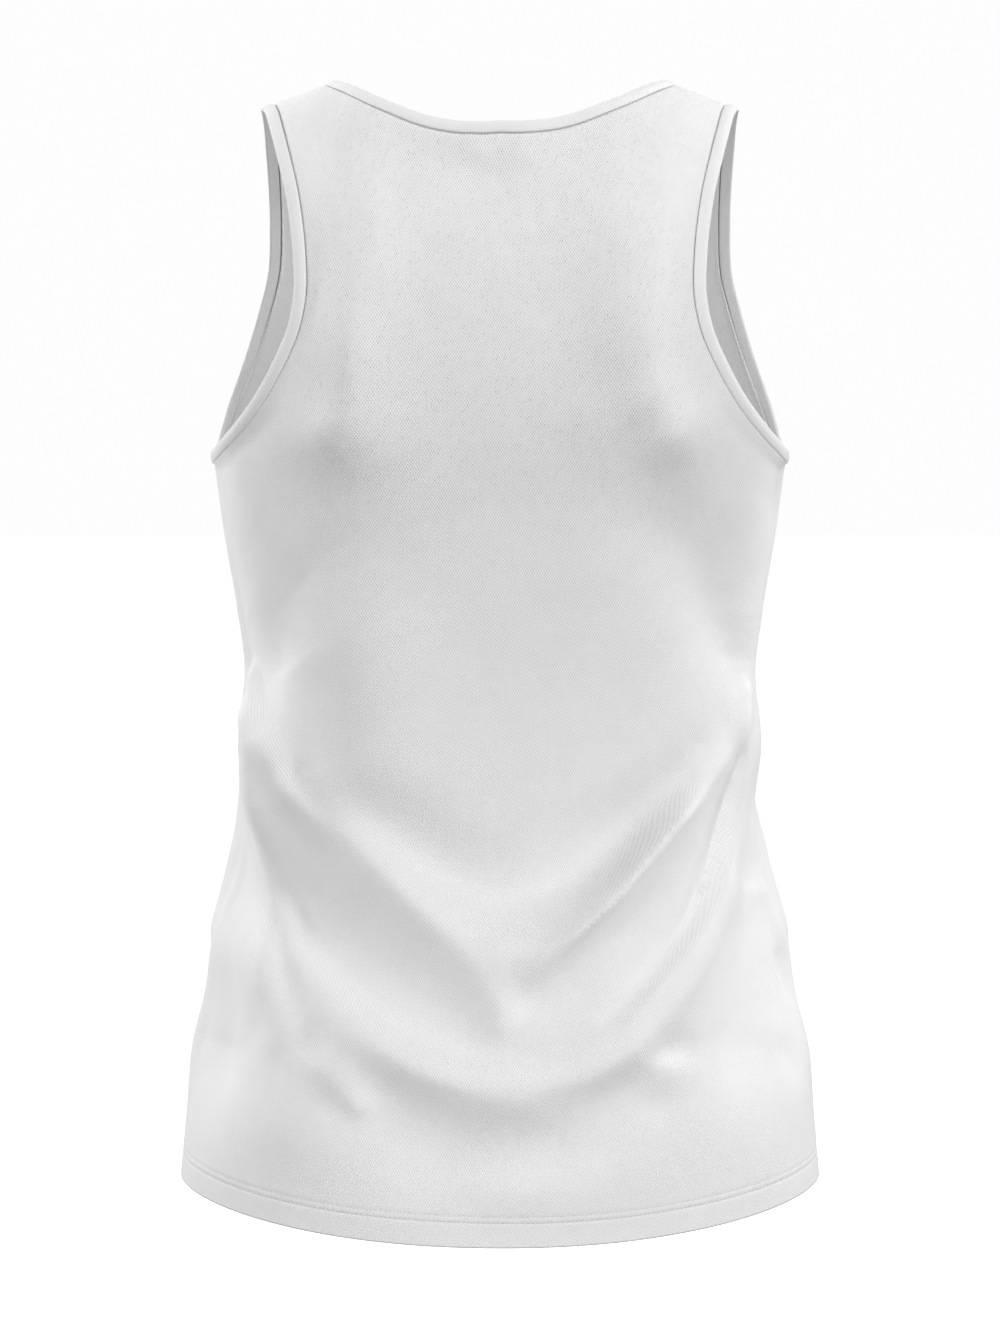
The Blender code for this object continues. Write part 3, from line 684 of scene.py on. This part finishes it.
def knitMaterial(name, knit):
    # two slants of tiny stitches cross and leave pits that read as dots, and short trails of more
    # open stitches look darker where the cloth is taut
    material = bpy.data.materials.new(name)
    material.use_nodes = True
    tree = material.node_tree
    shader = tree.nodes["Principled BSDF"]
    for socket, value in knitFinish.items():
        shader.inputs[socket].default_value = value
    uv = addNode(tree, "ShaderNodeUVMap", {"uv_map": "cloth"})

    def wave(angle):
        # bands run across the turned X axis; the texture's own period is 2 pi / 20 units
        turned = addNode(tree, "ShaderNodeMapping", {"Rotation": (0, 0, radians(angle))},
                         {"Vector": uv.outputs["UV"]})
        return addNode(
            tree, "ShaderNodeTexWave",
            {"wave_type": "BANDS", "bands_direction": "X", "wave_profile": "SIN",
             "Scale": 2 * pi / 20 / knit["spacing"], "Distortion": knitPattern["waver"], "Detail": 1.0,
             "Detail Scale": knitPattern["waverScale"]},
            {"Vector": turned.outputs["Vector"]},
        )

    def noise(scale, detail):
        return addNode(tree, "ShaderNodeTexNoise", {"Scale": scale, "Detail": detail, "Roughness": 0.6},
                       {"Vector": uv.outputs["UV"]})

    def levels(source, ends, fromLow=0.0, toHigh=1.0):
        return addNode(tree, "ShaderNodeMapRange",
                       {"interpolation_type": "SMOOTHSTEP", "From Min": ends[0], "From Max": ends[1],
                        "To Min": fromLow, "To Max": toHigh}, {"Value": source})

    def slantedNoise(width, length, low, high):
        # noise drawn out along the open stitches' slant, 0 below the low level and 1 above the high one
        slanted = addNode(tree, "ShaderNodeMapping",
                          {"vector_type": "TEXTURE", "Rotation": (0, 0, radians(knit["openAngle"])),
                           "Scale": (width, length, 1.0)},
                          {"Vector": uv.outputs["UV"]})
        drawnOut = addNode(tree, "ShaderNodeTexNoise", {"Scale": 1.0, "Detail": 1.0, "Roughness": 0.5},
                           {"Vector": slanted.outputs["Vector"]})
        return levels(drawnOut.outputs["Fac"], (low, high))

    def times(first, second):
        return addNode(tree, "ShaderNodeMath", {"operation": "MULTIPLY"}, {0: first, 1: second})

    # pits where the two slants cross, and shallower furrows along one of them
    rows = wave(knit["rowAngle"])
    cross = wave(knit["crossAngle"])
    lattice = times(rows.outputs["Fac"], cross.outputs["Fac"])
    sunk = addNode(tree, "ShaderNodeMath", {"operation": "MULTIPLY_ADD", 1: knit["rowShare"]},
                   {0: rows.outputs["Fac"], 2: lattice.outputs["Value"]})
    bump = addNode(tree, "ShaderNodeBump",
                   {"invert": True, "Strength": 1.0, "Distance": knit["relief"]},
                   {"Height": sunk.outputs["Value"]})
    tree.links.new(bump.outputs["Normal"], shader.inputs["Normal"])

    # the pattern is plainest on the taut upper back and softer on the loose sides and below
    place = addNode(tree, "ShaderNodeSeparateXYZ", {}, {"Vector": uv.outputs["UV"]})
    fromMiddle = addNode(tree, "ShaderNodeMath", {"operation": "ABSOLUTE"}, {0: place.outputs["X"]})
    taut = levels(fromMiddle.outputs["Value"], knitPattern["slack"], 1.0, knit["sideShare"])
    firm = levels(place.outputs["Y"], knitPattern["firmBelow"], knit["lowShare"], 1.0)
    patches = noise(knitPattern["patchScale"], 2.0)
    uneven = levels(patches.outputs["Fac"], knitPattern["patchLevels"], *knitPattern["patchShares"])
    depth = addNode(tree, "ShaderNodeMapRange", {"From Max": 1 + knit["rowShare"]},
                    {"Value": sunk.outputs["Value"]})
    pits = times(times(depth.outputs["Result"], uneven.outputs["Result"]).outputs["Value"],
                 times(taut.outputs["Result"], firm.outputs["Result"]).outputs["Value"])
    knitted = addNode(tree, "ShaderNodeMix",
                      {"data_type": "RGBA", 6: linear(knit["yarn"]), 7: linear(knit["pit"])},
                      {0: pits.outputs["Value"]})

    # open stitches, in the bottoms of pits
    bottoms = levels(depth.outputs["Result"], knitPattern["bottoms"])
    dashes = slantedNoise(*knitPattern["dash"])
    trails = slantedNoise(*knitPattern["trail"])
    upper = levels(place.outputs["Y"], knitPattern["openBelow"], knitPattern["openLow"], 1.0)
    inner = levels(fromMiddle.outputs["Value"], knitPattern["openEnds"], 1.0,
                   knitPattern["openAtSides"])
    where = times(upper.outputs["Result"], inner.outputs["Result"])
    openPits = times(times(dashes.outputs["Result"], trails.outputs["Result"]).outputs["Value"],
                     times(bottoms.outputs["Result"], where.outputs["Value"]).outputs["Value"])
    opened = addNode(tree, "ShaderNodeMix", {"data_type": "RGBA", 7: linear(knit["open"])},
                     {0: openPits.outputs["Value"], 6: knitted.outputs[2]})

    # painted shade: thin darker lines painted into the colour where thread pulls the cloth in and where
    # an edge turns under or meets a seam
    above = addNode(tree, "ShaderNodeMath", {"operation": "ADD", 1: knit["edgeAt"]},
                    {0: place.outputs["Y"]})
    colour = opened.outputs[2]
    for row, halfWidth, share in knit["paintedShadeRows"]:
        off = addNode(tree, "ShaderNodeMath", {"operation": "SUBTRACT", 1: row},
                      {0: above.outputs["Value"]})
        apart = addNode(tree, "ShaderNodeMath", {"operation": "ABSOLUTE"}, {0: off.outputs["Value"]})
        line = levels(apart.outputs["Value"], (0.0, halfWidth), share, 0.0)
        paintedShade = addNode(tree, "ShaderNodeMix", {"data_type": "RGBA", 7: linear(knit["paintedShade"])},
                         {0: line.outputs["Result"], 6: colour})
        colour = paintedShade.outputs[2]

    # the yarn takes the finish a little unevenly, with a trace of rose and of cream
    cloudy = noise(knitPattern["cloudScale"], 3.0)
    tint = addNode(tree, "ShaderNodeValToRGB", {}, {"Fac": cloudy.outputs["Fac"]})
    clouds = zip(tint.color_ramp.elements, knitPattern["cloudLevels"], knitPattern["cloudTints"])
    for stop, level, shares in clouds:
        stop.position = level
        stop.color = (*shares, 1.0)
    final = addNode(tree, "ShaderNodeMix", {"data_type": "RGBA", "blend_type": "MULTIPLY", 0: 1.0},
                    {6: colour, 7: tint.outputs["Color"]})
    tree.links.new(final.outputs[2], shader.inputs["Base Color"])
    return material


# The real stitches are about 1 mm apart, too fine for the picture, so they are drawn at 1.3 mm.
bodyKnit = knitMaterial(
    "fine white polyester knit",
    {
        "spacing": 0.0013,
        "rowAngle": 33,  # degrees
        "crossAngle": -31,
        "rowShare": 0.5,  # how deep the furrows are beside the pits
        "relief": 0.00008,
        "openAngle": 22,
        "yarn": "#fdfdfd",
        "pit": "#d6d6d7",
        "open": "#bcbcbd",
        # the colour of the painted shade lines
        "paintedShade": "#8a8a8e",
        "sideShare": 0.35,  # how strong the pattern is at the sides, and low on the body
        "lowShare": 0.6,
        "edgeAt": hemLength,
        # painted shade lines: height above the edge, half width, strength; at both stitch rows and the
        # hem's edge
        "paintedShadeRows": ((0.0149, 0.0006, 0.45), (0.0184, 0.0006, 0.18), (0.0, 0.0011, 0.80)),
    },
)
bindingKnit = knitMaterial(
    "folded strip of white polyester knit",
    {
        "spacing": 0.0012,
        "rowAngle": 45,  # degrees
        "crossAngle": -45,
        "rowShare": 0.3,
        "relief": 0.00005,
        "openAngle": 0,
        "yarn": "#fafafa",
        "pit": "#e0e0e1",
        "open": "#e0e0e1",
        # the colour of the painted shade line
        "paintedShade": "#8a8a8e",
        "sideShare": 0.8,
        "lowShare": 1.0,
        "edgeAt": 0.0,
        # painted shade along the binding's edge at the seam
        "paintedShadeRows": ((0.0, 0.0010, 0.85),),  # the outer layer's edge at the seam
    },
)

sewnPanels = [makePanel(name, panel, bodyKnit, bindingKnit) for name, panel in panels.items()]


# bindings

binding = {
    "neckWidth": 0.0078,
    "armWidth": 0.0076,
    "thickness": 0.0024,
    "layer": 0.0009,
    "proud": 0.0005,  # out from the panel's face
    "crown": 0.00055,  # how far its middle is fuller than its edges
    "gap": 0.00008,
    "sunkEdge": ((0.0001, 0.0010), (0.00025, 0.0005), (0.0006, 0.0001)),  # from the seam, depth
    "outerEnds": (0.0010, 0.0005),  # from the seam, and from the fold's middle
    "innerEnds": (0.0006, 0.0006),
    "foldShort": 0.00045,
    "foldEase": 0.15,  # radians left off each end of the fold's half turn
    "rows": (9, 7, 6),  # on the outer layer, round the fold, on the inner layer
}


def seamRing(edges):
    ring = edges[0]
    for edge in edges[1:]:
        joint = (ring[:, -1:] + edge[:, :1]) / 2
        ring = np.concatenate((ring[:, :-1], joint, edge[:, 1:]), axis=1)
    joint = (ring[:, -1:] + ring[:, :1]) / 2
    return np.concatenate((joint, ring[:, 1:-1]), axis=1)


def panelEdges(points, normals):
    # the three edges that are bound, level with the cloth beside the seam's ditch
    points = points + normals * cut["seamDitch"][0]
    strap = cut["strapColumns"] + len(cut["marginShares"]) - 1
    neck = slice(strap, points.shape[1] - strap)
    arm = slice(len(points) - len(armholeShares()), None)
    return (
        np.array((points[-1, neck], normals[-1, neck], points[-3, neck] - points[-1, neck])),
        np.array((points[arm, 0], normals[arm, 0], points[arm, 2] - points[arm, 0])),
        np.array((points[arm, -1], normals[arm, -1], points[arm, -3] - points[arm, -1])),
    )


def sin2(share):
    return np.sin(pi * np.clip(share, 0, 1)) ** 2


def bindingProfile(width):
    # (away from the seam, out from the panel's face): down the outer layer, round the fold, back inside
    half = binding["thickness"] / 2 - binding["layer"] / 2
    middle = binding["proud"] - binding["thickness"] / 2
    outerRows, foldRows, innerRows = binding["rows"]
    outerStart, outerShort = binding["outerEnds"]
    innerStart, innerShort = binding["innerEnds"]
    outer = [(x, middle + half - drop) for x, drop in binding["sunkEdge"]]
    for x in np.linspace(outerStart, width - half - outerShort, outerRows):
        outer.append((x, middle + half + binding["crown"] * sin2(x / width)))
    turns = np.linspace(binding["foldEase"], pi - binding["foldEase"], foldRows)
    foldMiddle = width - half - binding["foldShort"]
    fold = [(foldMiddle + half * np.sin(turn), middle + half * np.cos(turn)) for turn in turns]
    inner = [(x, middle - half) for x in np.linspace(width - half - innerShort, innerStart, innerRows)]
    return np.array(outer + fold + inner)


def makeBinding(name, node, edges, width, material):
    points, normals, inwards = seamRing(edges)
    normals = unit(normals)
    along = np.roll(points, -1, axis=0) - np.roll(points, 1, axis=0)
    away = unit(np.cross(along, normals))
    if np.sum(away * inwards) > 0:
        away = -away
    profile = bindingProfile(width)
    rows = np.array([points + away * (binding["gap"] + x) + normals * y for x, y in profile])
    facing = np.cross(rows[5, 1] - rows[5, 0], rows[6, 0] - rows[5, 0]) @ normals[0]
    steps = np.linalg.norm(np.roll(points, -1, axis=0) - points, axis=1)
    run = np.concatenate(([0.0], np.cumsum(steps)))
    over = np.concatenate(([0.0], np.cumsum(np.hypot(*np.diff(profile, axis=0).T))))
    uvs = np.stack(np.meshgrid(run, over), axis=-1)
    if facing < 0:
        rows, uvs = rows[::-1], uvs[::-1]
    piece = clothSheet(name, rows, uvs, True)
    wall = piece.modifiers.new("cloth", "SOLIDIFY")
    wall.thickness = binding["layer"]
    wall.offset = 0.0
    applyModifiers(piece)
    settle(piece, material, node)


edges = [panelEdges(points, normals) for points, normals in sewnPanels]
bindings = {
    "neckBinding": ("neck_binding", binding["neckWidth"]),
    "rightArmholeBinding": ("right_armhole_binding", binding["armWidth"]),
    "leftArmholeBinding": ("left_armhole_binding", binding["armWidth"]),
}
for (name, (node, width)), back, front in zip(bindings.items(), *edges):
    makeBinding(name, node, (back, front[:, ::-1]), width, bindingKnit)


# studio

studio = {
    "floorHeight": -1.38,
    "floorSize": 120.0,
    "floorColour": "#f2f2f2",
    "floorRoughness": 0.9,
    "floorGlow": 0.90,
    "skyLight": 0.20,
    "backdrop": 0.985,
    "clothReflects": 0.86,  # share of the light, so that a lamp's strength is what the cloth shows
    # degrees round from the camera towards -X, degrees up, distance, size, strength on the cloth
    "lights": (
        ("key", 40, 42, 3.0, 2.3, 0.31),
        ("rim right", 112, 20, 3.0, 2.3, 0.53),
        ("rim left", -112, 20, 3.0, 2.3, 0.75),
        ("low front", 0, -22, 1.3, 1.0, 0.19),
        ("hem fill", 0, -38, 0.75, 0.6, 0.10),
        ("overhead", 0, 55, 1.05, 0.9, 0.21),
    ),
    "aim": (0.0, 0.0, -0.35),
}

bpy.ops.mesh.primitive_plane_add(size=studio["floorSize"], location=(0, 0, studio["floorHeight"]))
floor = bpy.context.object
floor.name = "paleFloor"
floorPaint = bpy.data.materials.new("matt white studio floor")
floorPaint.use_nodes = True
floorShader = floorPaint.node_tree.nodes["Principled BSDF"]
floorShader.inputs["Base Color"].default_value = linear(studio["floorColour"])
floorShader.inputs["Roughness"].default_value = studio["floorRoughness"]
floorShader.inputs["Emission Color"].default_value = (1, 1, 1, 1)
floorShader.inputs["Emission Strength"].default_value = studio["floorGlow"]
setMaterial(floor, floorPaint)
floor.visible_diffuse = False  # the floor is seen, and the cloth is lit by the lamps and sky alone
floor.visible_glossy = False
floor.select_set(False)

world = bpy.data.worlds.new("pale studio")
bpy.context.scene.world = world
world.use_nodes = True
background = world.node_tree.nodes["Background"]
background.inputs["Color"].default_value = (1, 1, 1, 1)
pathKind = addNode(world.node_tree, "ShaderNodeLightPath")
strength = addNode(world.node_tree, "ShaderNodeMapRange",
                   {"To Min": studio["skyLight"], "To Max": studio["backdrop"]},
                   {"Value": pathKind.outputs["Is Camera Ray"]})
world.node_tree.links.new(strength.outputs["Result"], background.inputs["Strength"])

aim = np.array(studio["aim"])
for name, roundDegrees, upDegrees, distance, size, strong in studio["lights"]:
    turned, up = radians(roundDegrees), radians(upDegrees)
    towards = np.array((-np.sin(turned) * np.cos(up), np.cos(turned) * np.cos(up), np.sin(up)))
    lamp = bpy.data.lights.new(name, "AREA")
    lamp.shape = "DISK"
    lamp.size = size
    lamp.energy = strong * pi * pi * distance**2 / studio["clothReflects"]
    holder = bpy.data.objects.new(name, lamp)
    holder.location = aim + towards * distance
    holder.rotation_euler = Vector(-towards).to_track_quat("-Z", "Y").to_euler()
    holder.visible_camera = False
    bpy.context.scene.collection.objects.link(holder)

view = {
    "place": (0.0, 1.45, -0.24),
    "tilt": 85.75,  # degrees from straight down
    "turn": 180.0,
    "lens": 42.14,
    "sensorHeight": 24.0,
}
lens = bpy.data.cameras.new("photo camera")
lens.sensor_fit = "VERTICAL"
lens.sensor_height = view["sensorHeight"]
lens.lens = view["lens"]
camera = bpy.data.objects.new("photo camera", lens)
camera.location = view["place"]
camera.rotation_euler = (radians(view["tilt"]), 0.0, radians(view["turn"]))
bpy.context.scene.collection.objects.link(camera)
bpy.context.scene.camera = camera

bpy.context.scene.view_settings.view_transform = "Standard"
bpy.context.scene.view_settings.look = "None"
bpy.context.scene.view_settings.exposure = 0.0
bpy.context.scene.view_settings.gamma = 1.0
